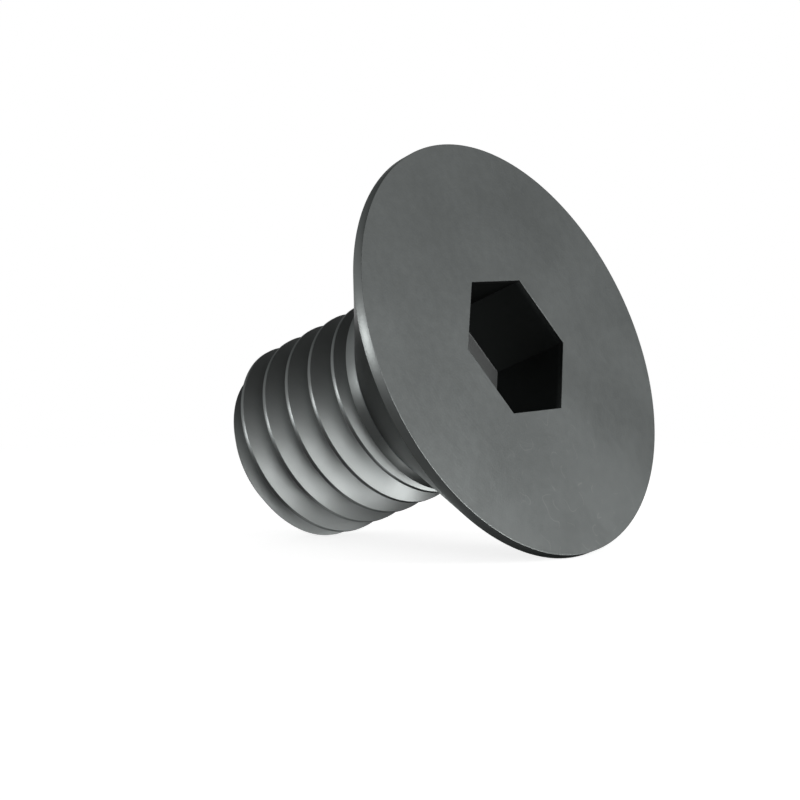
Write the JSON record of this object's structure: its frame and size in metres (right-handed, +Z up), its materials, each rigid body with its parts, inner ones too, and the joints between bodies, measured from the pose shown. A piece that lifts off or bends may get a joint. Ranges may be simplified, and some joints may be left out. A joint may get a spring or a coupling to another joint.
{
  "type": "countersunk socket screw",
  "caption": "Short countersunk machine screw with a flat conical head, a hexagonal socket, a plain neck and a metric thread with a chamfered point, lying on its side.",
  "frame": {"origin": "middle of the lying screw's footprint, on the surface that it lies on", "axes": "+Z up from the surface; the screw's axis lies in the XZ plane, with the head towards +X and the point towards -X, and is tilted 21.07 degrees so that the face looks towards +X and a little upwards; +Y is along the head's diameter"},
  "size_m": [0.0152, 0.016, 0.0151],
  "materials": {
    "blackened_steel": "black oxide on machined steel, satin"
  },
  "bodies": {
    "root": {"countersunk_screw": "blackened_steel"}
  },
  "joints": []
}
